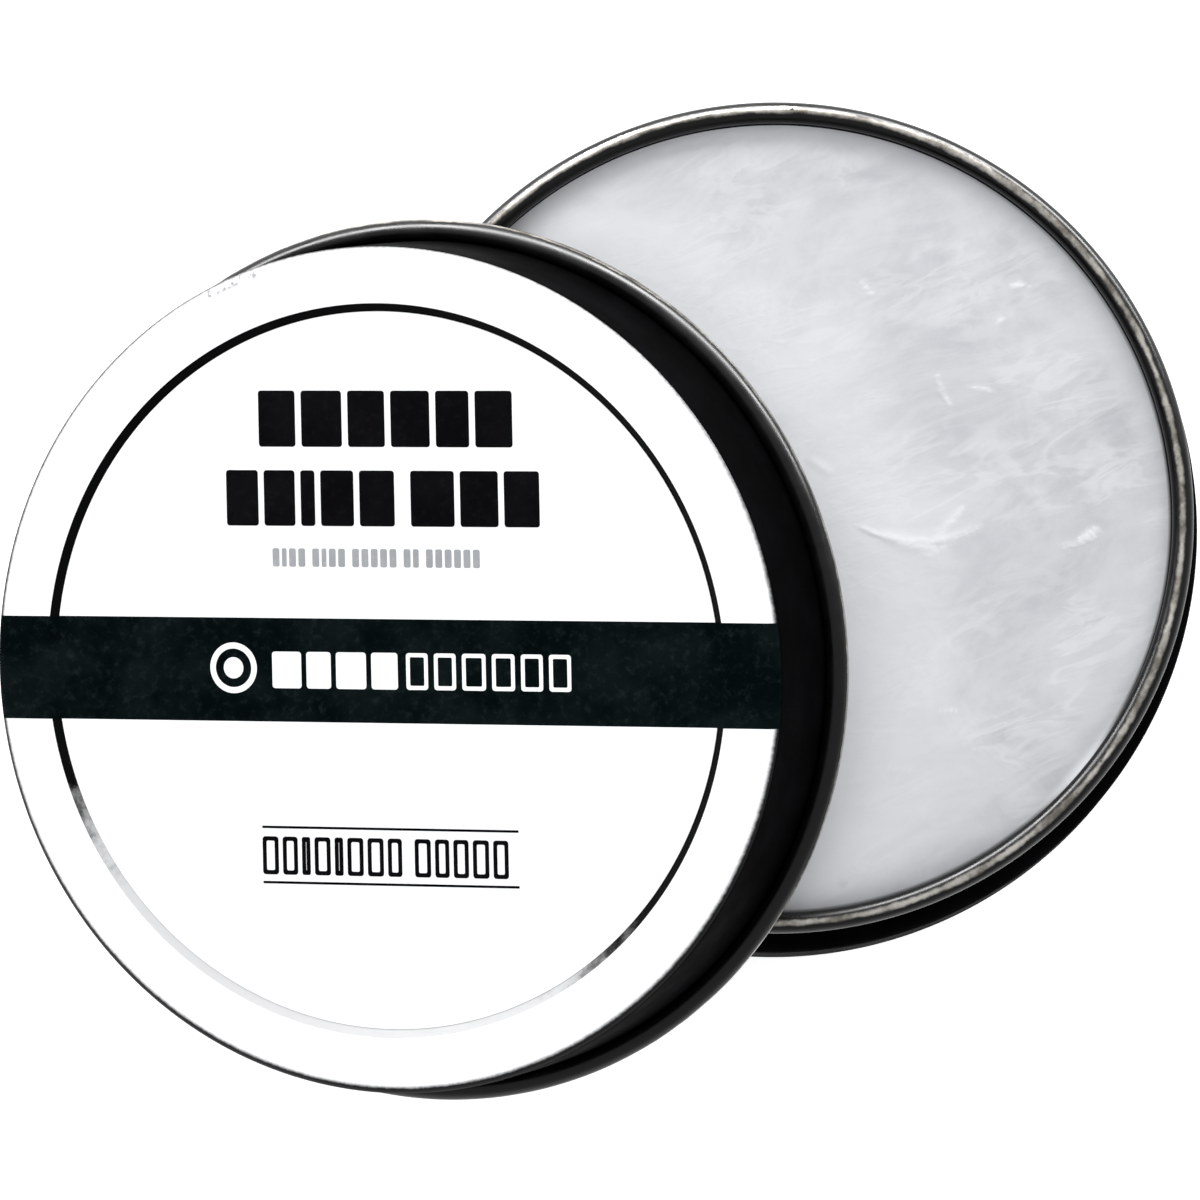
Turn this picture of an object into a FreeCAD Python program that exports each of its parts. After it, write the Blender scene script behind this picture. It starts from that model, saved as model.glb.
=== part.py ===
import FreeCAD, Part
import math
import os

from FreeCAD import Placement, Rotation, Vector

# A round slip-lid tin of wax, opened: the drawn base stands on its flat bottom, full of wax,
# and the lid leans on it, with one edge of its hem on the table and the hem resting on the base's
# rolled rim.  The origin is the centre of the base's underside, +Z is the base's axis, and the lid
# leans towards -X.  Everything is in millimetres.

# ---- driving dimensions ----

SHEET = 0.3                   # tinplate of both drawn shells

RIM_RADIUS = 41.0             # outside of the base's rolled rim, which the lid slips over
RIM_ROLL = 1.05               # outer radius of the roll's section
BASE_HEIGHT = 25.6            # underside to the top of the rolled rim
BODY_RADIUS = 42.2            # outside of the base below its shoulder
BASE_CORNER = 1.6             # outer rounding from the underside into the wall
SHOULDER_ROUND = 0.9          # roundings above and below the shoulder's flat
CLOSED_GAP = 0.3              # hem to shoulder when the lid is down on the rim

LID_GAP = 0.2                 # slip fit between the rim and the lid's skirt, per side
LID_HEIGHT = 14.2             # bottom of the hem to the top of the border
LID_SHOULDER = 1.0            # outer rounding from the border into the skirt
HEM_ROLL = 1.2                # outer radius of the hem's section
PANEL_RADIUS = 35.15          # flat centre panel of the lid, inside the pressed step
PANEL_RECESS = 0.5            # how far the centre panel lies below the border
STEP_WIDTH = 0.8              # width of a pressed step's slope
STEP_ROUND = 0.25             # rounding at the top and foot of a pressed slope

FOOT_BEAD_RADIUS = 35.5       # crest of the bead pressed up into the base's bottom
FOOT_BEAD_HEIGHT = 0.5

WAX_DEPTH = 2.4               # rim's top to the wax

PRINT_THICKNESS = 0.08        # enamel print on the lid
PRINT_WRAP = 62.0             # how far round the lid's shoulder the print runs, degrees from the top
BAND_WIDTH = 10.2             # dark band printed across the middle of the lid
BAND_TURN = -22.8             # turn of the band about the lid's axis, degrees from local +X

LEAN_OFFSET = 36.4            # from the base's axis to the middle of the lid's hem, in plan
LEAN_GAP = 0.15               # clearance where the hem rests on the rim
TABLE_GAP = 0.02              # clearance where the hem rests on the table

# ---- worked out from them ----

RIM_CENTRE = RIM_RADIUS - RIM_ROLL
NECK_RADIUS = RIM_RADIUS - 2 * RIM_ROLL + SHEET     # outside of the neck below the rolled rim
SKIRT_INSIDE = RIM_RADIUS + LID_GAP
SKIRT_OUTSIDE = SKIRT_INSIDE + SHEET
HEM_CENTRE = SKIRT_INSIDE + HEM_ROLL
BORDER_RADIUS = PANEL_RADIUS + STEP_WIDTH
SHOULDER_HEIGHT = BASE_HEIGHT - (LID_HEIGHT - SHEET) - CLOSED_GAP

ORIGIN = Vector(0, 0, 0)
AXIS = Vector(0, 0, 1)
ROLL_START = 180              # where a roll leaves its wall, degrees round the roll's section
ROLL_SWEEP = 300              # and how far it turns, stopping short of touching the wall again

LEAN_RANGE = (10, 40)         # the lean is looked for between these angles, in degrees
LEAN_HALVINGS = 40
HEM_STEPS = 1800              # places along half the hem where it is tried against the rim


def at(radius, height):
    """A point of a profile, in the XZ plane."""
    return Vector(radius, 0, height)


def rounded_path(corners):
    """Edges through (radius, height, rounding) corners, each rounded by a tangent arc."""
    points = [at(radius, height) for radius, height, _ in corners]
    roundings = [rounding for _, _, rounding in corners]
    edges = []
    start = points[0]
    for before, corner, after, rounding in zip(points, points[1:], points[2:], roundings[1:]):
        back = (before - corner).normalize()
        ahead = (after - corner).normalize()
        half_angle = back.getAngle(ahead) / 2
        bisector = (back + ahead).normalize()
        reach = rounding / math.tan(half_angle)
        entry = corner + back * reach
        leave = corner + ahead * reach
        middle = corner + bisector * (rounding / math.sin(half_angle) - rounding)
        edges.append(Part.LineSegment(start, entry).toShape())
        edges.append(Part.Arc(entry, middle, leave).toShape())
        start = leave
    edges.append(Part.LineSegment(start, points[-1]).toShape())
    return edges


def arc_path(centre, radius, first, last):
    """One arc of a profile about a centre, between two angles in degrees."""
    ends = []
    for angle in (first, (first + last) / 2, last):
        turn = math.radians(angle)
        ends.append(centre + Vector(radius * math.cos(turn), 0, radius * math.sin(turn)))
    return Part.Arc(*ends).toShape()


def revolved(face):
    """The solid that a face in the XZ plane sweeps about Z."""
    return face.revolve(ORIGIN, AXIS, 360)


def thickened(edges, thickness):
    """A path as a strip of sheet; a positive thickness lies on the path's left."""
    return Part.Wire(edges).makeOffset2D(thickness, 0, True, True)


# ---- the base ----

def neck_top():
    return BASE_HEIGHT - RIM_ROLL


def base_outline(top):
    """The base's outside from the axis along the bottom and up the wall to a height on the neck."""
    bead = [
        (FOOT_BEAD_RADIUS - STEP_WIDTH, 0, STEP_ROUND),
        (FOOT_BEAD_RADIUS, FOOT_BEAD_HEIGHT, STEP_ROUND),
        (FOOT_BEAD_RADIUS + STEP_WIDTH, 0, STEP_ROUND),
    ]
    wall = [
        (BODY_RADIUS, 0, BASE_CORNER),
        (BODY_RADIUS, SHOULDER_HEIGHT, SHOULDER_ROUND),
        (NECK_RADIUS, SHOULDER_HEIGHT, SHOULDER_ROUND),
        (NECK_RADIUS, top, 0),
    ]
    return rounded_path([(0, 0, 0)] + bead + wall)


def base_cup():
    """The drawn base: flat bottom, body, shoulder, neck and outward-rolled rim."""
    edges = base_outline(neck_top())
    edges.append(arc_path(at(RIM_CENTRE, neck_top()), RIM_ROLL - SHEET,
                          ROLL_START, ROLL_START - ROLL_SWEEP))
    return revolved(thickened(edges, SHEET))


def wax_cake():
    """The wax that fills the base to just below its rim."""
    wax_top = BASE_HEIGHT - WAX_DEPTH
    inside = Part.Wire(base_outline(wax_top)).makeOffset2D(SHEET, 0, False, True)
    ends = sorted((vertex.Point for vertex in inside.Vertexes), key=lambda point: point.z)
    floor_centre = min(ends, key=lambda point: point.x)
    wall_top = ends[-1]
    surface_centre = at(0, wall_top.z)
    edges = list(inside.Edges)
    edges.append(Part.LineSegment(wall_top, surface_centre).toShape())
    edges.append(Part.LineSegment(surface_centre, floor_centre).toShape())
    outline = Part.Wire(Part.__sortEdges__(edges))
    return revolved(Part.Face(outline))


# ---- the lid, in its own frame: the hem's lowest plane is z = 0 and its axis is Z ----

def lid_top_outline():
    """The lid's outside from the axis over the panel, the step and the border to the skirt."""
    return rounded_path([
        (0, LID_HEIGHT - PANEL_RECESS, 0),
        (PANEL_RADIUS, LID_HEIGHT - PANEL_RECESS, STEP_ROUND),
        (BORDER_RADIUS, LID_HEIGHT, STEP_ROUND),
        (SKIRT_OUTSIDE, LID_HEIGHT, LID_SHOULDER),
        (SKIRT_OUTSIDE, HEM_ROLL, 0),
    ])


def lid_shell():
    """The drawn lid: recessed panel, border, skirt and outward-rolled hem."""
    edges = lid_top_outline()
    edges.append(arc_path(at(HEM_CENTRE, HEM_ROLL), HEM_ROLL - SHEET,
                          ROLL_START, ROLL_START + ROLL_SWEEP))
    return revolved(thickened(edges, -SHEET))


def print_skin():
    """The whole printed layer, from the axis to part-way round the shoulder."""
    edges = lid_top_outline()[:-2]
    shoulder_centre = at(SKIRT_OUTSIDE - LID_SHOULDER, LID_HEIGHT - LID_SHOULDER)
    edges.append(arc_path(shoulder_centre, LID_SHOULDER, 90, 90 - PRINT_WRAP))
    return revolved(thickened(edges, PRINT_THICKNESS))


def band_slab():
    """A slab that covers the printed band and nothing else of the lid's top."""
    length = 4 * RIM_RADIUS
    corner = Vector(-length / 2, -BAND_WIDTH / 2, LID_HEIGHT / 2)
    slab = Part.makeBox(length, BAND_WIDTH, LID_HEIGHT, corner)
    slab.rotate(ORIGIN, AXIS, BAND_TURN)
    return slab


def column(radius):
    """A cylinder on the lid's axis that reaches past the print."""
    return Part.makeCylinder(radius, 2 * LID_HEIGHT)


def lid_pieces():
    """The lid's shell and its three printed areas, by node name."""
    skin = print_skin()
    light = skin.cut(band_slab())
    return {
        "lid_shell": lid_shell(),
        "lid_print_panel": light.common(column(PANEL_RADIUS)),
        "lid_print_border": light.cut(column(BORDER_RADIUS)),
        "lid_print_band": skin.common(band_slab()),
    }


# ---- how the lid leans ----

def hem_height(lean):
    """Height of the middle of the hem's roll circle, when its low side rests on the table."""
    return TABLE_GAP + HEM_ROLL + HEM_CENTRE * math.sin(lean)


def rim_room(lean):
    """How high the centre of the rim's roll may stand before the leaning hem touches it."""
    touching = HEM_ROLL + RIM_ROLL + LEAN_GAP
    room = []
    for step in range(HEM_STEPS + 1):
        turn = math.radians(180 * step / HEM_STEPS)
        x = HEM_CENTRE * math.cos(turn) * math.cos(lean) - LEAN_OFFSET
        y = HEM_CENTRE * math.sin(turn)
        z = HEM_CENTRE * math.cos(turn) * math.sin(lean) + hem_height(lean)
        beside = math.hypot(x, y) - RIM_CENTRE
        if abs(beside) < touching:
            room.append(z - math.sqrt(touching ** 2 - beside ** 2))
    return min(room)


def lean_angle():
    """The angle, in radians, at which the hem comes down onto the rim, found by halving."""
    low, high = (math.radians(angle) for angle in LEAN_RANGE)
    for _ in range(LEAN_HALVINGS):
        middle = (low + high) / 2
        if rim_room(middle) < neck_top():
            low = middle
        else:
            high = middle
    return high


def leaning():
    """The placement of the lid's own frame, leaning on the base."""
    lean = lean_angle()
    tilt = Rotation(Vector(0, 1, 0), -math.degrees(lean))
    hem_middle = Vector(-LEAN_OFFSET, 0, hem_height(lean))
    return Placement(hem_middle - tilt.multVec(Vector(0, 0, HEM_ROLL)), tilt)


def main():
    os.makedirs("parts", exist_ok=True)
    nodes = {"base_cup": base_cup(), "wax_cake": wax_cake()}
    rest = leaning()
    for name, shape in lid_pieces().items():
        shape.Placement = rest.multiply(shape.Placement)
        nodes[name] = shape
    for name, shape in nodes.items():
        shape.exportStep(f"parts/{name}.step")
        box = shape.BoundBox
        print(f"{name:18s} solids {len(shape.Solids)}  volume {shape.Volume:9.1f}  "
              f"valid {shape.isValid()}  x {box.XMin:.2f}..{box.XMax:.2f}  "
              f"z {box.ZMin:.2f}..{box.ZMax:.2f}")
    print(f"lean {math.degrees(lean_angle()):.3f} degrees")


main()
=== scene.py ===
import math

import bmesh
import bpy
from mathutils import Matrix, Vector, noise


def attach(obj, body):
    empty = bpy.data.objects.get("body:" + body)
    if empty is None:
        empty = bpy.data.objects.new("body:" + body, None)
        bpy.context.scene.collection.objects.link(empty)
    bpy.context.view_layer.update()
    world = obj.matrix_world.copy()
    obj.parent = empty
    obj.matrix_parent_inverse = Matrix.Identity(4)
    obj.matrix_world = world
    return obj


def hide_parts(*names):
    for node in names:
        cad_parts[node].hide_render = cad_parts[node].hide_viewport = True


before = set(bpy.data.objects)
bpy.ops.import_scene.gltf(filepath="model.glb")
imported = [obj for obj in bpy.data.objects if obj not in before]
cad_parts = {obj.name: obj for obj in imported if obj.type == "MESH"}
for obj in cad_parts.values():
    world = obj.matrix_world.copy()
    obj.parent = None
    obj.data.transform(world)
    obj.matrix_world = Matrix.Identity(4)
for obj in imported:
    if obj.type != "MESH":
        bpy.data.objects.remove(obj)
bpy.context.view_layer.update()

# An open slip-lid tin of wax.  The base stands on the floor, full of wax, and the lid leans
# on its rolled rim.  Lengths are in metres; MM turns the design's millimetres into metres.  Angles
# round the tin are in degrees from +X, counter-clockwise seen from above.

MM = 0.001

# ---- the design's sections, as in the CAD model ----

SHEET = 0.3 * MM
RIM_RADIUS = 41.0 * MM
RIM_ROLL = 1.05 * MM
RIM_CENTRE = RIM_RADIUS - RIM_ROLL
BASE_HEIGHT = 25.6 * MM
NECK_TOP = BASE_HEIGHT - RIM_ROLL
BODY_RADIUS = 42.2 * MM
BASE_CORNER = 1.6 * MM
SHOULDER_ROUND = 0.9 * MM
SHOULDER_HEIGHT = 11.4 * MM
NECK_RADIUS = RIM_RADIUS - 2 * RIM_ROLL + SHEET
FOOT_BEAD_RADIUS = 35.5 * MM
FOOT_BEAD_HEIGHT = 0.5 * MM

SKIRT_OUTSIDE = 41.5 * MM
HEM_ROLL = 1.2 * MM
HEM_CENTRE = SKIRT_OUTSIDE - SHEET + HEM_ROLL
LID_HEIGHT = 14.2 * MM
LID_SHOULDER = 1.0 * MM
PANEL_RADIUS = 35.15 * MM
PANEL_HEIGHT = LID_HEIGHT - 0.5 * MM
STEP_WIDTH = 0.8 * MM
STEP_ROUND = 0.35 * MM
FOOT_STEP_ROUND = 0.25 * MM
BORDER_RADIUS = PANEL_RADIUS + STEP_WIDTH
ROLL_START = 180.0            # where a roll leaves its wall, degrees round the roll's section
ROLL_SWEEP = 300.0

PRINT_TOP = 0.08 * MM         # how far the enamel print stands on the lid's metal
PRINT_WRAP = 62.0             # how far round the shoulder it runs, degrees from the top
BAND_WIDTH = 10.2 * MM
BAND_TURN = -22.8             # turn of the band about the lid's axis

WAX_RADIUS = NECK_RADIUS - SHEET
WAX_TOP = BASE_HEIGHT - 2.4 * MM

# ---- how finely things are built ----

SEGMENTS = 360                # facets round every lathed piece
WAX_SEGMENTS = 540            # facets round the wax
WAX_RING = 0.36 * MM          # spacing of the rings of the wax's top
ARC_STEPS = 9                 # facets in each rounded corner of a section
ROLL_STEPS = 40               # facets round each roll's section
HOLD = 0.05 * MM              # a loop this close to each rounding keeps the flats flat
SHARP = 40.0                  # edges that turn by more than this are shaded sharp, in degrees
INK = 0.02 * MM               # how far the printed marks stand above and reach below the print
ON_AXIS = 1e-9                # a section's point nearer the axis than this is a pole
SAME = 1e-7                   # lengths closer than this count as equal
ON_CUT = 1e-8                 # a point nearer to a cutting plane than this lies on it


# ---- sections, as (radius, height) points ----

def arc_points(centre_radius, centre_height, radius, first, last, steps):
    """Points of an arc between two angles in degrees."""
    points = []
    for step in range(steps + 1):
        turn = math.radians(first + (last - first) * step / steps)
        points.append(Vector((centre_radius + radius * math.cos(turn),
                              centre_height + radius * math.sin(turn))))
    return points


def rounded_path(corners):
    """Points through (radius, height, rounding) corners, each inner corner rounded by an arc."""
    points = [Vector(corners[0][:2])]
    for before, corner, after in zip(corners, corners[1:], corners[2:]):
        turn = Vector(corner[:2])
        back = (Vector(before[:2]) - turn).normalized()
        ahead = (Vector(after[:2]) - turn).normalized()
        half = back.angle(ahead) / 2
        reach = corner[2] / math.tan(half)
        centre = turn + (back + ahead).normalized() * (corner[2] / math.sin(half))
        start = turn + back * reach - centre
        end = turn + ahead * reach - centre
        first = math.degrees(math.atan2(start.y, start.x))
        sweep = (math.degrees(math.atan2(end.y, end.x)) - first + 180) % 360 - 180
        points.append(turn + back * (reach + HOLD))
        points.extend(arc_points(centre.x, centre.y, corner[2], first, first + sweep, ARC_STEPS))
        points.append(turn + ahead * (reach + HOLD))
    points.append(Vector(corners[-1][:2]))
    return points


def offset_path(points, distance):
    """The path moved sideways; a positive distance moves it to its left."""
    moved = []
    for index, point in enumerate(points):
        before = points[max(index - 1, 0)]
        after = points[min(index + 1, len(points) - 1)]
        back = (point - before if index else after - point).normalized()
        ahead = (after - point if index < len(points) - 1 else point - before).normalized()
        along = (back + ahead).normalized()
        moved.append(point + Vector((-along.y, along.x)) * (distance / along.dot(back)))
    return moved


def base_path(top):
    """The base's outside from the axis along the bottom and up the wall to a height on the neck."""
    return rounded_path([
        (0, 0, 0),
        (FOOT_BEAD_RADIUS - STEP_WIDTH, 0, FOOT_STEP_ROUND),
        (FOOT_BEAD_RADIUS, FOOT_BEAD_HEIGHT, FOOT_STEP_ROUND),
        (FOOT_BEAD_RADIUS + STEP_WIDTH, 0, FOOT_STEP_ROUND),
        (BODY_RADIUS, 0, BASE_CORNER),
        (BODY_RADIUS, SHOULDER_HEIGHT, SHOULDER_ROUND),
        (NECK_RADIUS, SHOULDER_HEIGHT, SHOULDER_ROUND),
        (NECK_RADIUS, top, 0),
    ])


def lid_path(last_height):
    """The lid's outside from the axis over the panel, the step and the border to the skirt."""
    return rounded_path([
        (0, PANEL_HEIGHT, 0),
        (PANEL_RADIUS, PANEL_HEIGHT, STEP_ROUND),
        (BORDER_RADIUS, LID_HEIGHT, STEP_ROUND),
        (SKIRT_OUTSIDE, LID_HEIGHT, LID_SHOULDER),
        (SKIRT_OUTSIDE, last_height, 0),
    ])


# ---- where the lid leans ----

def lid_place():
    """The leaning lid's own frame: its axis from the CAD panel, its middle from the CAD shell."""
    flat = max(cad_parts["lid_print_panel"].data.polygons, key=lambda face: face.area)
    axis = flat.normal if flat.normal.z > 0 else -flat.normal
    along = Vector((axis.z, 0, -axis.x)).normalized()
    across = axis.cross(along)
    corners = [vertex.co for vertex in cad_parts["lid_shell"].data.vertices]

    def middle(direction):
        reach = [corner.dot(direction) for corner in corners]
        return (min(reach) + max(reach)) / 2

    foot = min(corner.dot(axis) for corner in corners)
    origin = along * middle(along) + across * middle(across) + axis * foot
    return Matrix.Translation(origin) @ Matrix((along, across, axis)).transposed().to_4x4()


LID_PLACE = lid_place()


# ---- meshes ----

def lathed(points, segments=SEGMENTS, closed=False):
    """A bmesh of a section turned about Z; points on the axis become poles."""
    bm = bmesh.new()
    rings = []
    for point in points:
        if point.x < ON_AXIS:
            rings.append([bm.verts.new((0, 0, point.y))])
            continue
        ring = []
        for step in range(segments):
            turn = 2 * math.pi * step / segments
            ring.append(bm.verts.new((point.x * math.cos(turn), point.x * math.sin(turn),
                                      point.y)))
        rings.append(ring)
    pairs = list(zip(rings, rings[1:]))
    if closed:
        pairs.append((rings[-1], rings[0]))
    for low, high in pairs:
        for step in range(segments):
            after = (step + 1) % segments
            if len(low) == 1:
                bm.faces.new((low[0], high[after], high[step]))
            elif len(high) == 1:
                bm.faces.new((low[step], low[after], high[0]))
            else:
                bm.faces.new((low[step], low[after], high[after], high[step]))
    return bm


def shell(path, thickness):
    """A sheet of revolution along a path that starts on the axis, with both of its sides."""
    inner = offset_path(path, thickness)
    inner[0].x = 0
    return lathed(path + inner[::-1])


def made_object(name, bm, body, materials, node=None):
    """A smooth-shaded piece on its body, hiding the CAD node it stands for.  Each point keeps its
    place in its body's own frame for the materials to read."""
    bmesh.ops.recalc_face_normals(bm, faces=bm.faces)
    mesh = bpy.data.meshes.new(name)
    bm.to_mesh(mesh)
    bm.free()
    place = mesh.attributes.new("place", "FLOAT_VECTOR", "POINT")
    for vertex in mesh.vertices:
        place.data[vertex.index].vector = vertex.co
    mesh.polygons.foreach_set("use_smooth", [True] * len(mesh.polygons))
    mesh.set_sharp_from_angle(angle=math.radians(SHARP))
    for material in materials:
        mesh.materials.append(material)
    if body == "lid":
        mesh.transform(LID_PLACE)
    thing = bpy.data.objects.new(name, mesh)
    bpy.context.scene.collection.objects.link(thing)
    if body:
        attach(thing, body)
    if node:
        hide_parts(node)
    return thing


# ---- node helpers ----

class Nodes:
    """The node tree of a material or world with short ways to add the nodes used here."""

    def __init__(self, owner):
        owner.use_nodes = True
        self.owner = owner
        self.tree = owner.node_tree

    def add(self, kind, **settings):
        node = self.tree.nodes.new(kind)
        for key, value in settings.items():
            setattr(node, key, value)
        return node

    def put(self, socket, value):
        """Links an output to an input, or sets a plain value."""
        if isinstance(value, bpy.types.NodeSocket):
            self.tree.links.new(value, socket)
        else:
            socket.default_value = value

    def math(self, operation, first, second=0.0, clamp=False):
        node = self.add("ShaderNodeMath", operation=operation, use_clamp=clamp)
        self.put(node.inputs[0], first)
        self.put(node.inputs[1], second)
        return node.outputs[0]

    def vector(self, operation, first, second=(0, 0, 0)):
        node = self.add("ShaderNodeVectorMath", operation=operation)
        self.put(node.inputs[0], first)
        self.put(node.inputs[1], second)
        return node.outputs[1 if operation in ("LENGTH", "DOT_PRODUCT") else 0]

    def span(self, value, low, high, to_low=0.0, to_high=1.0):
        """The value mapped smoothly from one span to another and held there."""
        node = self.add("ShaderNodeMapRange", interpolation_type="SMOOTHSTEP")
        for socket, number in zip(node.inputs, (value, low, high, to_low, to_high)):
            self.put(socket, number)
        return node.outputs[0]


class Finish(Nodes):
    """A material that reads each point's place on its body."""

    def __init__(self, name):
        super().__init__(bpy.data.materials.new(name))
        self.surface = self.tree.nodes["Principled BSDF"]
        self.place = self.add("ShaderNodeAttribute", attribute_name="place").outputs["Vector"]

    def noise(self, scale, detail=3.0, roughness=0.5, distortion=0.0, where=None):
        node = self.add("ShaderNodeTexNoise")
        self.put(node.inputs["Vector"], where or self.place)
        self.put(node.inputs["Scale"], scale)
        self.put(node.inputs["Detail"], detail)
        self.put(node.inputs["Roughness"], roughness)
        self.put(node.inputs["Distortion"], distortion)
        return node.outputs["Fac"]

    def stretched(self, turn, along, across):
        """The place turned about Z and scaled, for a grain that runs one way."""
        node = self.add("ShaderNodeMapping", vector_type="POINT")
        self.put(node.inputs["Vector"], self.place)
        self.put(node.inputs["Rotation"], (0, 0, math.radians(-turn)))
        self.put(node.inputs["Scale"], (along, across, across))
        return node.outputs["Vector"]

    def mix(self, factor, first, second):
        node = self.add("ShaderNodeMix", data_type="RGBA")
        self.put(node.inputs[0], factor)
        self.put(node.inputs[6], first)
        self.put(node.inputs[7], second)
        return node.outputs[2]

    def from_ring(self, radius, height):
        """Distance from a circle about the axis, at that radius and height."""
        split = self.add("ShaderNodeSeparateXYZ")
        self.put(split.inputs[0], self.place)
        flat = self.vector("MULTIPLY", self.place, (1, 1, 0))
        beside = self.math("SUBTRACT", self.vector("LENGTH", flat), radius)
        above = self.math("SUBTRACT", split.outputs[2], height)
        squares = self.math("ADD", self.math("MULTIPLY", beside, beside),
                            self.math("MULTIPLY", above, above))
        return self.math("SQRT", squares)

    def bump(self, height, strength, distance):
        node = self.add("ShaderNodeBump")
        self.put(node.inputs["Strength"], strength)
        self.put(node.inputs["Distance"], distance)
        self.put(node.inputs["Height"], height)
        self.put(self.surface.inputs["Normal"], node.outputs[0])

    def finish(self, **values):
        """Sets the shader's inputs, by their names with _ for a space, and gives the material."""
        for key, value in values.items():
            self.put(self.surface.inputs[key.replace("_", " ")], value)
        return self.owner


# ---- materials ----

# Colours are linear.  A noise's scale is its number of cells in a metre.
BLACK = (0.0010, 0.0010, 0.0012, 1)
BLACK_MOTTLE = (0.0022, 0.0023, 0.0026, 1)
BLACK_STEP = (0.003, 0.003, 0.003, 1)
BLACK_SPECK = (0.01, 0.01, 0.01, 1)
TIN = (0.43, 0.41, 0.375, 1)
TIN_STAIN = (0.13, 0.118, 0.10, 1)
WHITE = (0.90, 0.90, 0.90, 1)
WHITE_CLOUD = (0.865, 0.87, 0.875, 1)
WHITE_PAINTED_HIGHLIGHT = (0.53, 0.53, 0.53, 1)
SKIN_RELIEF = 0.02 * MM       # depth of the bumps in lacquer and enamel
INK_RELIEF = 0.01 * MM        # and in the printed inks


def satin_lacquer(name):
    """Deep black lacquer of the walls, with hardly any shine and faint mottling."""
    n = Finish(name)
    mottling = n.span(n.noise(140.0, 4.0, 0.6), 0.35, 0.7)
    n.bump(n.noise(700.0, 4.0, 0.6), 0.15, SKIN_RELIEF)
    return n.finish(
        Base_Color=n.mix(mottling, BLACK, BLACK_MOTTLE),
        Roughness=n.span(n.noise(240.0, 3.0), 0.3, 0.7, 0.50, 0.62),
        Specular_IOR_Level=0.004,
    )


ROLL_SHINE = 0.18             # specular level of the lacquer on the rolled edges
PATCH_SWAY = 0.10 * MM        # how far patches push the edge of the rubbing in and out
GRIT_SWAY = 0.05 * MM
BARE_CORE = 0.15              # share of the rubbing's reach that is bare all over
END_PULL = 1.6                # at the ends of the X axis this share of across is taken away


def rolled_lacquer(name, crest, bare_reach, across=0.0, along=0.0, widen=0.0):
    """Glossy black lacquer of a rolled edge, rubbed to the tin along its crest.  The crest is a
    circle, as (radius, height), and the rubbing fades out at bare_reach from it.  It wanders
    outward by across, less at the ends of the X axis, and by along more at +Y than at -Y.  From
    the X axis to +Y the rubbing comes to reach further, by widen."""
    n = Finish(name)
    unit = n.vector("NORMALIZE", n.vector("MULTIPLY", n.place, (1, 1, 0)))
    split = n.add("ShaderNodeSeparateXYZ")
    n.put(split.inputs[0], unit)
    unit_x, unit_y = split.outputs[0], split.outputs[1]
    pull = n.math("MULTIPLY", n.math("MULTIPLY", unit_x, unit_x), END_PULL)
    wander = n.math("MULTIPLY", n.math("SUBTRACT", 1.0, pull), across)
    wander = n.math("ADD", wander, n.math("MULTIPLY", unit_y, along))
    patches = n.noise(210.0, 4.0, 0.6)
    grit = n.noise(1300.0, 3.0, 0.65)
    away = n.from_ring(n.math("ADD", wander, crest[0]), crest[1])
    away = n.math("ADD", away, n.span(patches, 0.25, 0.75, -PATCH_SWAY, PATCH_SWAY))
    away = n.math("ADD", away, n.span(grit, 0.3, 0.7, -GRIT_SWAY, GRIT_SWAY))
    away = n.math("SUBTRACT", away, n.span(unit_y, 0.0, 1.0, 0.0, widen))
    rubbed = n.span(away, bare_reach, BARE_CORE * bare_reach)
    nicks = n.span(n.noise(620.0, 2.0, 0.6), 0.30, 0.24)
    bare = n.math("MULTIPLY", rubbed, n.math("SUBTRACT", 1.0, nicks))
    tin = n.mix(n.span(n.noise(260.0, 5.0, 0.7), 0.36, 0.66), TIN, TIN_STAIN)
    n.bump(n.math("ADD", grit, n.math("MULTIPLY", patches, 2.0)), 0.12, SKIN_RELIEF)
    return n.finish(
        Base_Color=n.mix(bare, BLACK, tin),
        Metallic=bare,
        Roughness=n.span(patches, 0.3, 0.7, 0.24, 0.34),
        Specular_IOR_Level=ROLL_SHINE,
    )


HIGHLIGHT_ARC_MIDDLE = -126.0           # heading of the arc of the step painted white as a painted highlight
HIGHLIGHT_ARC_FULL = 39.0               # degrees from its middle within which the painted highlight is whole
HIGHLIGHT_ARC_NONE = 59.0               # degrees from its middle at which the painted highlight has ended
HIGHLIGHT_ARC_RAGGED = 0.06             # how uneven the painted highlight's ends are, as a cosine


def step_finish(name):
    """The pressed step: bare glossy lacquer, painted white along one arc as a painted highlight."""
    n = Finish(name)
    middle = math.radians(HIGHLIGHT_ARC_MIDDLE)
    flat = n.vector("NORMALIZE", n.vector("MULTIPLY", n.place, (1, 1, 0)))
    facing = n.vector("DOT_PRODUCT", flat, (math.cos(middle), math.sin(middle), 0))
    rough = n.span(n.noise(420.0, 4.0, 0.7), 0.3, 0.7, -HIGHLIGHT_ARC_RAGGED, HIGHLIGHT_ARC_RAGGED)
    # painted highlight: white along one arc of the step, fading at its ends
    painted_highlight = n.span(n.math("ADD", facing, rough), math.cos(math.radians(HIGHLIGHT_ARC_NONE)),
                 math.cos(math.radians(HIGHLIGHT_ARC_FULL)))
    lacquer = n.mix(n.noise(300.0), BLACK, BLACK_STEP)
    n.bump(n.noise(500.0, 3.0), 0.12, SKIN_RELIEF)
    return n.finish(
        Base_Color=n.mix(painted_highlight, lacquer, WHITE_PAINTED_HIGHLIGHT),
        Roughness=n.span(n.noise(400.0), 0.3, 0.7, 0.26, 0.36),
        Specular_IOR_Level=0.02,
    )


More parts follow.
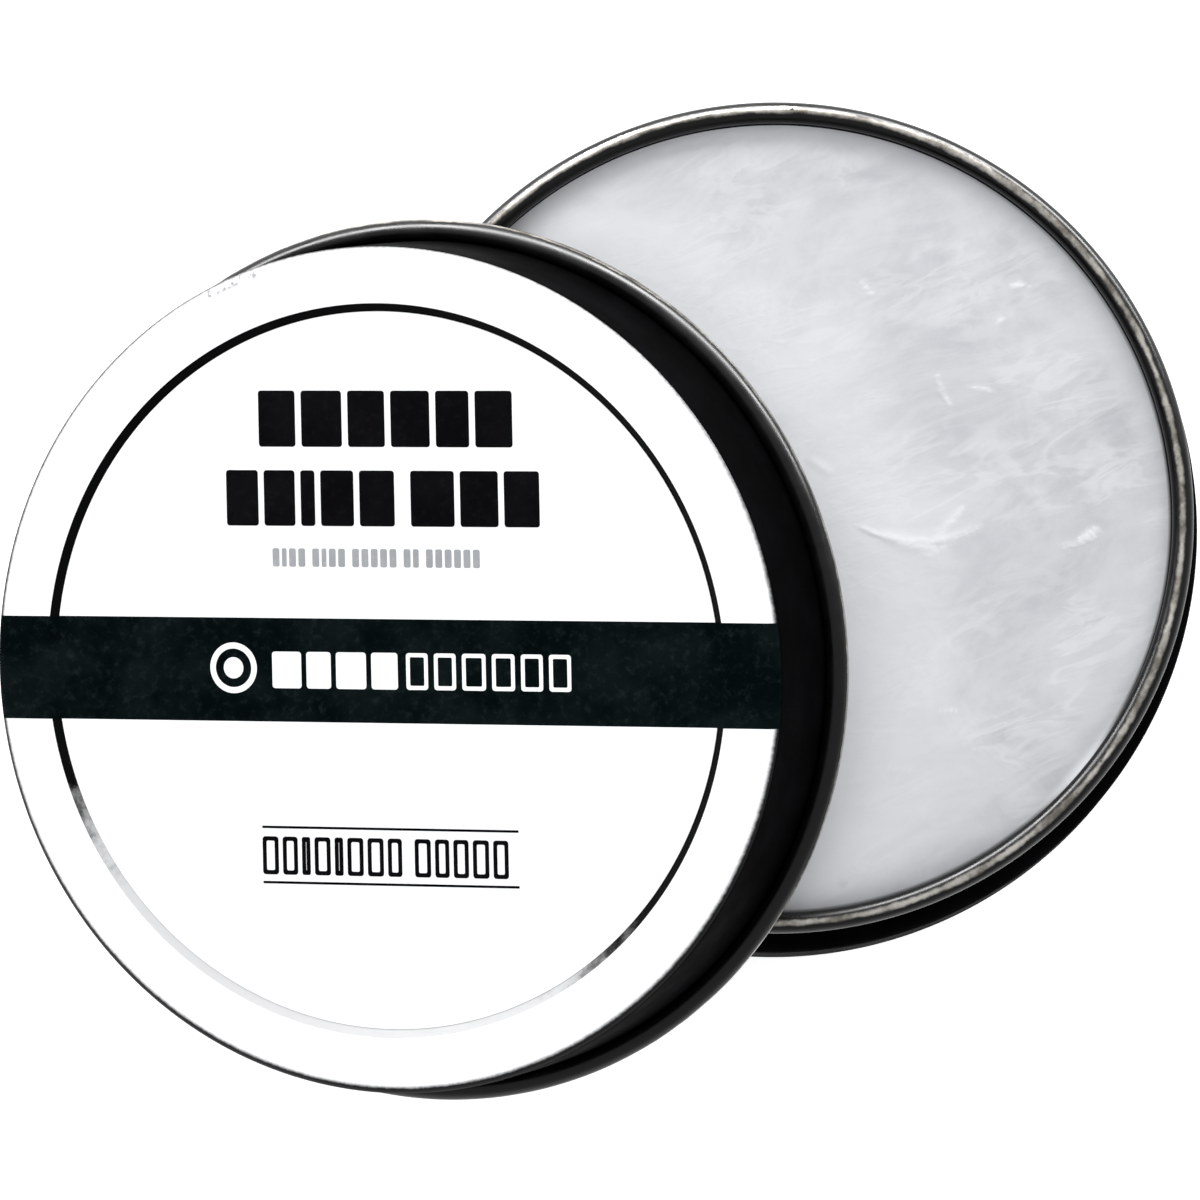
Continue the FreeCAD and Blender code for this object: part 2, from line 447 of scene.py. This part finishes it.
FADE_HEADING = (0.71, 0.71, 0)     # the print's fade lies FADE_SHIFT further out this way,
FADE_SHIFT = 0.30 * MM             # and as much further in the other way
FADE_START = SKIRT_OUTSIDE - 0.66 * MM
FADE_END = SKIRT_OUTSIDE - 0.20 * MM
FADE_RAGGED = 0.04 * MM            # how uneven the fade's edge is
SCUFF_HEADING = (0.02, 1.0, 0)     # the scuffs lie this way, at the border's outer edge
SCUFF_SIDES = (0.990, 0.998)       # cosines of the angles from it at which scuffs start, are full
SCUFF_START = SKIRT_OUTSIDE - 1.5 * MM
SCUFF_FULL = SKIRT_OUTSIDE - 1.0 * MM
SCUFF_SHARE = 0.6                  # how far a scuff takes the white to black


def white_enamel(name):
    """White print that thins to specks of black where it runs round the lid's shoulder, with a
    small patch of scuffs at one side."""
    n = Finish(name)
    flat = n.vector("MULTIPLY", n.place, (1, 1, 0))
    unit = n.vector("NORMALIZE", flat)
    shift = n.math("MULTIPLY", n.vector("DOT_PRODUCT", unit, FADE_HEADING), FADE_SHIFT)
    radius = n.math("SUBTRACT", n.vector("LENGTH", flat), shift)
    rough = n.span(n.noise(1800.0, 4.0, 0.7), 0.3, 0.7, -FADE_RAGGED, FADE_RAGGED)
    thin = n.span(n.math("ADD", radius, rough), FADE_START, FADE_END)
    scuff_side = n.span(n.vector("DOT_PRODUCT", unit, SCUFF_HEADING), *SCUFF_SIDES)
    scuff_edge = n.span(radius, SCUFF_START, SCUFF_FULL)
    scuffs = n.math("MULTIPLY", n.math("MULTIPLY", scuff_side, scuff_edge),
                    n.span(n.noise(1100.0, 4.0, 0.7), 0.52, 0.60))
    thin = n.math("MAXIMUM", thin, n.math("MULTIPLY", scuffs, SCUFF_SHARE))
    white = n.mix(n.span(n.noise(90.0, 4.0), 0.3, 0.7), WHITE, WHITE_CLOUD)
    n.bump(n.noise(900.0, 3.0), 0.08, SKIN_RELIEF)
    return n.finish(
        Base_Color=n.mix(thin, white, BLACK_SPECK),
        Roughness=n.span(n.noise(200.0), 0.3, 0.7, 0.34, 0.44),
        Specular_IOR_Level=0.05,
    )


def printed_ink(name, colour, fleck, share):
    """A printed colour with fine flecks; share is how far a fleck changes it."""
    n = Finish(name)
    flecks = n.span(n.noise(1100.0, 4.0, 0.75), 0.48, 0.78, 0.0, share)
    clouds = n.span(n.noise(160.0, 3.0, 0.6), 0.35, 0.7, 0.0, share / 2)
    n.bump(n.noise(1600.0, 2.0), 0.1, INK_RELIEF)
    return n.finish(
        Base_Color=n.mix(n.math("ADD", flecks, clouds, True), colour, fleck),
        Roughness=n.span(n.noise(300.0), 0.3, 0.7, 0.5, 0.62),
        Specular_IOR_Level=0.002,
    )


WAX_CLOUD = ((0.458, 0.465, 0.483, 1), (0.565, 0.572, 0.588, 1))
WAX_SMEAR = (0.595, 0.602, 0.615, 1)
# painted shade colour, greying the wax towards one side
WAX_PAINTED_SHADE = (0.20, 0.20, 0.21, 1)
# painted light colour, near the wall and the lid's edge
WAX_PAINTED_LIGHT = (0.80, 0.81, 0.83, 1)
WAX_FIBRE = (0.74, 0.745, 0.755, 1)
WAX_SPECK = (0.25, 0.24, 0.22, 1)
# painted shade colour of the ring where the wax meets the wall
WAX_WALL_SHADE = (0.004, 0.004, 0.004, 1)
PAINTED_SHADE_HEADING = (0.86, -0.50, 0)   # painted shade: greys the wax a little this way, from the start below
PAINTED_SHADE_START = 14 * MM
PAINTED_SHADE_FULL = 38 * MM
WAX_BUMP = 0.15 * MM


def wisps(n, turn, along, across, thickness, cover):
    """Thin broken threads: where a stretched noise crosses its middle, kept in patches."""
    field = n.noise(1.0, 3.0, 0.6, 0.8, n.stretched(turn, along, across))
    off = n.math("ABSOLUTE", n.math("SUBTRACT", field, 0.5))
    patch = n.span(n.noise(1.0, 2.0, 0.5, 0.0, n.stretched(turn, along * 0.7, across * 0.35)),
                   cover, cover + 0.16)
    return n.math("MULTIPLY", n.span(off, thickness, 0.0), patch)


def wax_material(name):
    """Pale wax: soft clouds, cottony fibres, paler raised scraps and a painted shade line at the
    wall.
    """
    n = Finish(name)
    raised, pale_and_painted_light, painted_wall_shade = [n.add("ShaderNodeAttribute", attribute_name=kind).outputs["Fac"]
                            for kind in ("raised", "pale_and_painted_light", "painted_wall_shade")]
    clouds = n.span(n.noise(60.0, 9.0, 0.68, 0.9), 0.34, 0.66)
    smears = n.noise(1.0, 7.0, 0.68, 1.4, n.stretched(-20.0, 90.0, 260.0))
    fluff = n.math("ADD", wisps(n, -18.0, 110.0, 330.0, 0.10, 0.44),
                   n.math("ADD", wisps(n, 66.0, 120.0, 300.0, 0.08, 0.52),
                          wisps(n, -58.0, 140.0, 380.0, 0.08, 0.55)), True)
    strands = n.span(n.noise(1.0, 4.0, 0.7, 1.0, n.stretched(-16.0, 320.0, 1500.0)),
                     0.34, 0.58, 0.25, 1.0)
    specks = n.span(n.noise(300.0, 2.0, 0.6), 0.70, 0.80, 0.0, 0.14)
    beside = n.vector("DOT_PRODUCT", n.place, PAINTED_SHADE_HEADING)
    scraps = n.math("MULTIPLY", n.math("MULTIPLY", raised, strands), 0.80)
    light = n.math("ADD", n.math("MULTIPLY", fluff, 0.24), scraps, True)
    body = n.mix(clouds, *WAX_CLOUD)
    body = n.mix(n.span(smears, 0.36, 0.66, 0.0, 0.55), body, WAX_SMEAR)
    # painted shade: greyer towards one side
    body = n.mix(n.span(beside, PAINTED_SHADE_START, PAINTED_SHADE_FULL, 0.0, 0.16), body, WAX_PAINTED_SHADE)
    # painted light: paler near the wall and the lid's edge, and a painted glint on the wall
    body = n.mix(n.math("MULTIPLY", pale_and_painted_light, 0.62), body, WAX_PAINTED_LIGHT)
    body = n.mix(light, body, WAX_FIBRE)
    body = n.mix(specks, body, WAX_SPECK)
    relief = n.math("ADD", n.math("MULTIPLY", smears, 1.4), n.math("MULTIPLY", fluff, 0.4))
    n.bump(relief, 0.16, WAX_BUMP)
    return n.finish(
        # painted shade: the dark ring at the wall
        Base_Color=n.mix(painted_wall_shade, body, WAX_WALL_SHADE),
        Roughness=n.span(smears, 0.3, 0.7, 0.62, 0.50),
        Specular_IOR_Level=0.004,
    )


satin = satin_lacquer("satin_lacquer")
rim_lacquer = rolled_lacquer("rim_lacquer", (RIM_CENTRE, BASE_HEIGHT), 0.42 * MM,
                             across=0.18 * MM, along=0.07 * MM)
hem_lacquer = rolled_lacquer("hem_lacquer", (HEM_CENTRE + HEM_ROLL, HEM_ROLL), 0.30 * MM,
                             widen=0.40 * MM)
step_lacquer = step_finish("step_lacquer")
white = white_enamel("white_enamel")
band_ink = printed_ink("band_ink", (0.0010, 0.0026, 0.0030, 1), (0.009, 0.014, 0.015, 1), 0.8)
black_ink = printed_ink("black_ink", (0.0025, 0.0025, 0.003, 1), (0.008, 0.008, 0.009, 1), 0.6)
grey_ink = printed_ink("grey_ink", (0.30, 0.31, 0.32, 1), (0.45, 0.46, 0.47, 1), 0.5)
white_ink = printed_ink("white_ink", (0.88, 0.88, 0.88, 1), (0.80, 0.80, 0.81, 1), 0.4)


# ---- the base ----

def paint(mesh, index, chosen):
    """Gives the faces whose middle is chosen, as (radius, height), the material at that index."""
    for face in mesh.polygons:
        middle = Vector((0, 0, 0))
        for corner in face.vertices:
            middle += mesh.attributes["place"].data[corner].vector
        middle /= len(face.vertices)
        if chosen(math.hypot(middle.x, middle.y), middle.z):
            face.material_index = index


ROLLED_NECK = NECK_TOP - RIM_ROLL - 2 * MM    # the rim's lacquer runs down the wall to here

base_section = base_path(NECK_TOP)[:-1]
base_section += arc_points(RIM_CENTRE, NECK_TOP, RIM_ROLL - SHEET,
                           ROLL_START, ROLL_START - ROLL_SWEEP, ROLL_STEPS)
base_tin = made_object("base_tin", shell(base_section, SHEET), "base",
                       [satin, rim_lacquer], "base_cup")
paint(base_tin.data, 1, lambda radius, height: height > ROLLED_NECK)


# ---- the wax ----

# raised scraps of wax, each as x, y, heading and bend in degrees, length, width and height; lengths
# here are in millimetres, and the place, heading, width and height are those at its middle
SCRAPS = (
    (12.2, -7.6, -22, 66, 14.0, 0.80, 0.34),
    (10.9, -7.2, -36, 30, 6.0, 1.20, 0.30),
    (14.6, -7.4, 22, 24, 6.6, 0.90, 0.26),
    (13.6, -9.0, 4, 10, 4.0, 0.60, 0.16),
    (26.9, -13.5, -2, 34, 4.8, 0.45, 0.30),
    (27.9, -13.0, 12, 10, 2.4, 0.60, 0.24),
    (5.9, 3.1, -58, -30, 3.0, 0.50, 0.20),
    (19.9, 5.4, -88, 26, 3.6, 0.35, 0.18),
    (23.6, 4.2, -30, -20, 2.6, 0.30, 0.14),
    (28.4, 9.8, 10, 30, 2.4, 0.35, 0.14),
    (30.9, 12.3, -20, -10, 1.8, 0.50, 0.14),
    (1.8, -27.5, -26, 6, 3.4, 0.28, 0.12),
    (8.5, -24.0, -20, 10, 2.2, 0.25, 0.12),
    (16.9, 17.6, -75, 20, 2.8, 0.28, 0.10),
)
SCRAP_STEPS = 24              # straight runs along each scrap's centreline
SCRAP_END = 0.05              # share of its width and height that a scrap keeps at its ends
SCRAP_RIPPLE = 0.35           # share by which its width wavers along it
SCRAP_LIFT = 0.6              # share of its listed height that a scrap keeps, pressed into the wax
SWELL = (40.0, 0.14)          # the relief's waves, as (how many cells in a metre, millimetres high)
RIPPLE = (120.0, 0.06)
FINE = (450.0, 0.02)
FLAT_EDGE = 1.5 * MM          # the relief dies out over this last stretch to the wall
EDGE_FALL = 0.45 * MM         # how far the wax sinks towards the wall at -Y; it stays level at +Y
EDGE_WIDTH = 4.5 * MM
# painted shade: the wax is painted dark in a ring where it meets the wall, less towards +Y
WALL_SHADE_WIDTH = 0.3 * MM       # the dark ring where it meets the wall,
WALL_SHADE_SHARE = 1.6            # which fades out towards +Y
# painted light: the wax is painted paler where the wall and the lid would shade it
PAINTED_LIGHT_EDGE = 3.5 * MM          # it is paler this near the wall, most so at +Y
PAINTED_LIGHT_SHARE = (0.4, 0.6)       # how much paler it is there at -Y, and how much more at +Y
PAINTED_LIGHT_NEAR = 40.0 * MM         # and painted palest this far from the lid's middle, fading over the length below
PAINTED_LIGHT_FADE = 16.0 * MM
SMEAR_GLINT_WIDTH = 0.8 * MM
SMEAR_GLINT_TURN = -62.0            # where it has crept up the wall and is painted pale as a glint, in degrees
SMEAR_GLINT_REACH = 9.0
SMEAR_RISE = 0.7 * MM


def scrap_points():
    """Each scrap's centreline as (x, y, half width, height) points; it tapers to its ends."""
    spots = []
    for x, y, heading, bend, length, width, height in SCRAPS:
        line = [Vector((0.0, 0.0))]
        for step in range(SCRAP_STEPS):
            turn = math.radians(heading + bend * ((step + 0.5) / SCRAP_STEPS - 0.5))
            line.append(line[-1] + Vector((math.cos(turn), math.sin(turn))) * length / SCRAP_STEPS)
        shift = Vector((x, y)) - line[SCRAP_STEPS // 2]
        for index, point in enumerate(line):
            taper = math.sqrt(max(0.0, 1 - (2 * index / SCRAP_STEPS - 1) ** 2)) + SCRAP_END
            ripple = 1 + SCRAP_RIPPLE * noise.noise(Vector((index * 0.45, x, y)))
            spots.append((*(point + shift) * MM,
                          width * taper * ripple * MM / 2, height * taper * MM))
    return spots


def wax_relief(x, y, spots):
    """How far the wax's top stands above its level, and how much paler a scrap makes it there."""
    spot = Vector((x, y, 0.0))
    swell = noise.noise(spot * SWELL[0]) * SWELL[1]
    swell += noise.noise(spot * RIPPLE[0] + Vector((3, 1, 7))) * RIPPLE[1]
    fine = noise.fractal(spot * FINE[0], 0.8, 2.1, 4) * FINE[1]
    lift, pale_and_painted_light = 0.0, 0.0
    for middle_x, middle_y, half, height in spots:
        near = (x - middle_x) ** 2 + (y - middle_y) ** 2
        if near < (3 * half) ** 2:
            share = math.exp(-near / (half * half))
            lift = max(lift, SCRAP_LIFT * height * share)
            pale_and_painted_light = max(pale_and_painted_light, share)
    return (swell + fine) * MM + lift, pale_and_painted_light


def wax_fill():
    """The wax: the wall and floor of the cup from inside, closed by a top with its relief."""
    inside = offset_path(base_path(WAX_TOP), SHEET)
    inside[0].x = 0
    wall = [point for point in inside if point.y < WAX_TOP - SAME]
    rings = round(WAX_RADIUS / WAX_RING)
    top = [Vector((WAX_RADIUS * (rings - ring) / rings, WAX_TOP)) for ring in range(rings + 1)]
    bm = lathed(wall + top, WAX_SEGMENTS)
    raised = bm.verts.layers.float.new("raised")
    painted_wall_shade = bm.verts.layers.float.new("painted_wall_shade")
    pale_and_painted_light = bm.verts.layers.float.new("pale_and_painted_light")
    lid_middle = LID_PLACE.translation.xy
    spots = scrap_points()
    for vertex in bm.verts:
        if vertex.co.z < WAX_TOP - SAME:
            continue
        height, scrap = wax_relief(vertex.co.x, vertex.co.y, spots)
        margin = WAX_RADIUS - math.hypot(vertex.co.x, vertex.co.y)
        far_side = (1 + vertex.co.y / WAX_RADIUS) / 2
        turn = math.degrees(math.atan2(vertex.co.y, vertex.co.x))
        # painted highlight: where the wax rises up the wall it is also painted pale as a glint
        smear_and_glint = math.exp(-((turn - SMEAR_GLINT_TURN) / SMEAR_GLINT_REACH) ** 2)
        creep_and_glint = smear_and_glint * max(0.0, 1 - margin / SMEAR_GLINT_WIDTH)
        sink = (1 - far_side) * max(0.0, 1 - margin / EDGE_WIDTH) ** 2
        # painted light: paler near the lid's edge and near the wall, where they would shade the wax
        from_arc = abs((vertex.co.xy - lid_middle).length - PAINTED_LIGHT_NEAR)
        painted_light_arc = max(0.0, 1 - (from_arc / PAINTED_LIGHT_FADE) ** 2) ** 2
        painted_light_edge = (PAINTED_LIGHT_SHARE[0] + PAINTED_LIGHT_SHARE[1] * far_side) * max(0.0, 1 - margin / PAINTED_LIGHT_EDGE)
        # painted shade: a dark ring at the wall, fading out towards +Y
        wall_shade_fade = max(0.0, 1 - margin / WALL_SHADE_WIDTH) * (1 - smear_and_glint)
        vertex.co.z += height * min(1.0, margin / FLAT_EDGE) - EDGE_FALL * sink
        vertex.co.z += SMEAR_RISE * creep_and_glint ** 2
        vertex[raised] = scrap
        vertex[pale_and_painted_light] = max(creep_and_glint, painted_light_edge, painted_light_arc)
        vertex[painted_wall_shade] = wall_shade_fade * min(1.0, WALL_SHADE_SHARE * (1 - far_side))
    made_object("wax_fill", bm, "base", [wax_material("wax")], "wax_cake")


wax_fill()


# ---- the lid ----

STEP_MARGIN = 1.0 * MM        # the step's finish runs this far out under the border's print

lid_section = lid_path(HEM_ROLL)[:-1]
lid_section += arc_points(HEM_CENTRE, HEM_ROLL, HEM_ROLL - SHEET,
                          ROLL_START, ROLL_START + ROLL_SWEEP, ROLL_STEPS)
lid_tin = made_object("lid_tin", shell(lid_section, -SHEET), "lid",
                      [satin, hem_lacquer, step_lacquer], "lid_shell")
paint(lid_tin.data, 1, lambda radius, height: height < 2 * HEM_ROLL)
paint(lid_tin.data, 2, lambda radius, height: height > PANEL_HEIGHT - SHEET / 2
      and radius < BORDER_RADIUS + STEP_MARGIN)


def print_section():
    """The printed layer's outer path, from the axis to part-way round the shoulder."""
    bend = SKIRT_OUTSIDE - LID_SHOULDER
    path = [point for point in lid_path(HEM_ROLL) if point.x < bend - SAME]
    path += arc_points(bend, LID_HEIGHT - LID_SHOULDER, LID_SHOULDER,
                       90, 90 - PRINT_WRAP, 2 * ARC_STEPS)
    return path


def skin(path):
    """The printed layer along a path, as a bmesh closed all round."""
    outer = offset_path(path, PRINT_TOP)
    if path[0].x == 0:
        outer[0].x = 0
    return lathed(path + outer[::-1], closed=path[0].x > 0)


def across_band(bm, keep_band):
    """Cuts a skin along the band's two edges and keeps the band, or what lies beside it."""
    normal = Vector((-math.sin(math.radians(BAND_TURN)), math.cos(math.radians(BAND_TURN)), 0))
    for side in (1, -1):
        bmesh.ops.bisect_plane(bm, geom=bm.verts[:] + bm.edges[:] + bm.faces[:], dist=ON_CUT,
                               plane_co=normal * side * BAND_WIDTH / 2, plane_no=normal)
    gone = []
    for face in bm.faces:
        in_band = abs(face.calc_center_median().dot(normal)) < BAND_WIDTH / 2
        if in_band != keep_band:
            gone.append(face)
    bmesh.ops.delete(bm, geom=gone, context="FACES")
    bmesh.ops.holes_fill(bm, edges=[edge for edge in bm.edges if edge.is_boundary], sides=0)
    return bm


whole = print_section()
panel_part = [point for point in whole if point.x < PANEL_RADIUS + SAME]
border_part = [point for point in whole if point.x > BORDER_RADIUS - SAME]
made_object("print_panel", across_band(skin(panel_part), False), "lid", [white],
            "lid_print_panel")
made_object("print_border", across_band(skin(border_part), False), "lid", [white],
            "lid_print_border")
made_object("print_band", across_band(skin(whole), True), "lid", [band_ink],
            "lid_print_band")


# ---- the printed marks: plain blocks and a plain ring, with no lettering ----

MARK_STEPS = 4                # facets in each rounded corner of a block
MARK_CORNER = 0.3             # its radius in millimetres, less on small blocks
CIRCLE_POINTS = 48


def outline(left, low, right, high, corner):
    """A rounded rectangle as points, counter-clockwise."""
    points = []
    for x, y, first in ((right - corner, high - corner, 0), (left + corner, high - corner, 90),
                        (left + corner, low + corner, 180), (right - corner, low + corner, 270)):
        points.extend(arc_points(x, y, corner, first, first + 90, MARK_STEPS))
    return points


def add_plate(bm, outer, inner=None):
    """A thin plate on the print from an outline, with an optional hole of as many points."""
    heights = (PANEL_HEIGHT + PRINT_TOP - INK, PANEL_HEIGHT + PRINT_TOP + INK)
    loops = [[bm.verts.new((x, y, height)) for x, y in ring]
             for ring in (outer, inner) if ring for height in heights]
    count = len(outer)
    for index in range(count):
        after = (index + 1) % count
        bm.faces.new((loops[0][index], loops[0][after], loops[1][after], loops[1][index]))
        if inner:
            bm.faces.new((loops[2][after], loops[2][index], loops[3][index], loops[3][after]))
            bm.faces.new((loops[1][index], loops[1][after], loops[3][after], loops[3][index]))
            bm.faces.new((loops[0][after], loops[0][index], loops[2][index], loops[2][after]))
    if not inner:
        bm.faces.new(loops[1])
        bm.faces.new(loops[0][::-1])


def marks(name, ink, plates):
    """Printed plates as one piece, turned with the band.  Each is an outline and its hole, or
    None."""
    bm = bmesh.new()
    for outer, inner in plates:
        add_plate(bm, outer, inner)
    bmesh.ops.rotate(bm, verts=bm.verts, cent=(0, 0, 0),
                     matrix=Matrix.Rotation(math.radians(BAND_TURN), 3, "Z"))
    made_object(name, bm, "lid", [ink])


def row(x, y, height, stroke, widths, gap):
    """Blocks from the left, in millimetres.  A stroke makes them hollow, and a width below 0 is a
    space."""
    plates = []
    for width in widths:
        if width < 0:
            x -= width
            continue
        corner = min(MARK_CORNER, width / 4, height / 4)
        hole = None
        if stroke:
            hole = outline(x + stroke, y + stroke, x + width - stroke, y + height - stroke,
                           corner / 2)
        plates.append([ring and [point * MM for point in ring]
                       for ring in (outline(x, y, x + width, y + height, corner), hole)])
        x += width + gap
    return plates


# widths of the blocks in each row, in millimetres, and of the spaces between groups as negatives
TITLE_HIGH = (3.9, 4.3, 3.9, 4.1, 3.5, 3.9)
TITLE_LOW = (3.4, 3.3, 1.5, 3.5, 3.7, -1.1, 4.6, 4.0, 3.7)
SMALL = (0.72, 0.5, 0.72, 0.72, -0.5) * 2 + (0.72,) * 5 + (-0.5, 0.72, 0.6, -0.5) + (0.72,) * 6
BAND_BOLD = (3.1, 2.6, 3.2, 2.8)
BAND_LIGHT = (2.3, 2.3, 2.5, 2.4, 2.3, 2.3)
LOWER = (1.7, 1.6, 0.9, 1.7, 0.9, 1.7, 1.7, 1.5, -0.9, 1.7, 1.5, 1.6, 1.7, 1.6)
RULE = (27.2,)

marks("marks_title", black_ink,
      row(-12.8, 21.9, 5.5, 0, TITLE_HIGH, 0.65) + row(-16.4, 14.15, 5.45, 0, TITLE_LOW, 0.62))
marks("marks_small", grey_ink, row(-11.6, 10.15, 1.8, 0, SMALL, 0.27))
marks("marks_band", white_ink,
      row(-11.9, -1.8, 3.6, 0, BAND_BOLD, 0.55) + row(2.35, -1.8, 3.6, 0.4, BAND_LIGHT, 0.65))
marks("marks_lower", black_ink,
      row(-13.35, -20.15, 3.75, 0.42, LOWER, 0.45)
      + row(-13.35, -15.6, 0.24, 0, RULE, 0) + row(-13.35, -21.05, 0.24, 0, RULE, 0))


def circle(radius):
    """A circle of the emblem, which stands at the band's left; the radius is in millimetres."""
    return arc_points(-16.05 * MM, 0.15 * MM, radius * MM, 0, 360 - 360 / CIRCLE_POINTS,
                      CIRCLE_POINTS - 1)


marks("marks_emblem", white_ink, [(circle(2.5), circle(1.9)), (circle(1.05), None)])


# ---- floor, light and camera ----

FLOOR_GAP = 0.02 * MM         # the floor lies this far below the tin's underside
FLOOR_RADIUS = 3.0
LIGHT_DISTANCE = 1.3


def floor():
    """A round pale floor, lit a little by itself so that it stays white."""
    bm = bmesh.new()
    bmesh.ops.create_circle(bm, cap_ends=True, segments=96, radius=FLOOR_RADIUS,
                            matrix=Matrix.Translation((0, 0, -FLOOR_GAP)))
    n = Finish("studio_floor")
    n.finish(Base_Color=(0.93, 0.93, 0.93, 1), Roughness=0.9, Specular_IOR_Level=0.1,
             Emission_Color=(1, 1, 1, 1), Emission_Strength=0.6)
    made_object("studio_floor", bm, None, [n.owner])


def softbox(name, azimuth, elevation, width, height, radiance, diffuse=True):
    """An area light that faces the tin; its power follows from its size and how bright it looks.
    Without diffuse it shows in gloss only."""
    lamp = bpy.data.lights.new(name, "AREA")
    lamp.shape = "RECTANGLE"
    lamp.size = width
    lamp.size_y = height
    lamp.energy = radiance * math.pi * width * height
    thing = bpy.data.objects.new(name, lamp)
    bpy.context.scene.collection.objects.link(thing)
    thing.visible_diffuse = diffuse
    heading = math.radians(azimuth)
    flat = LIGHT_DISTANCE * math.cos(math.radians(elevation))
    thing.location = (flat * math.cos(heading), flat * math.sin(heading),
                      LIGHT_DISTANCE * math.sin(math.radians(elevation)))
    thing.rotation_euler = (-thing.location).to_track_quat("-Z", "Y").to_euler()


def camera():
    """A long lens, steeply from above; the direction and roll place the tin as it is seen."""
    lens = bpy.data.cameras.new("camera")
    lens.lens = 300.0
    lens.sensor_width = 36.0
    lens.clip_start = 0.01
    lens.clip_end = 50.0
    target = Vector((-0.01901, -0.00073, 0.02))
    distance = 0.98615
    elevation = math.radians(85.124)
    azimuth = math.radians(-23.844)
    roll = math.radians(1.661)
    back = Vector((math.cos(elevation) * math.sin(azimuth),
                   -math.cos(elevation) * math.cos(azimuth), math.sin(elevation)))
    level = (-back).cross(Vector((0, 0, 1))).normalized()
    right = level * math.cos(roll) + level.cross(-back) * math.sin(roll)
    thing = bpy.data.objects.new("camera", lens)
    bpy.context.scene.collection.objects.link(thing)
    turned = Matrix((right, back.cross(right), back)).transposed().to_4x4()
    thing.matrix_world = Matrix.Translation(target + back * distance) @ turned
    bpy.context.scene.camera = thing


def studio(strength):
    """An even sky, and colours shown as they are."""
    n = Nodes(bpy.data.worlds.new("studio"))
    sky = n.tree.nodes["Background"]
    n.put(sky.inputs["Color"], (0.97, 0.98, 1.0, 1))
    n.put(sky.inputs["Strength"], strength)
    bpy.context.scene.world = n.owner
    bpy.context.scene.view_settings.view_transform = "Standard"


floor()
softbox("key", azimuth=77.0, elevation=38.0, width=2.0, height=0.5, radiance=4.6)
softbox("glint", azimuth=72.0, elevation=28.0, width=4.4, height=0.45, radiance=62.0,
        diffuse=False)
studio(strength=0.99)
camera()
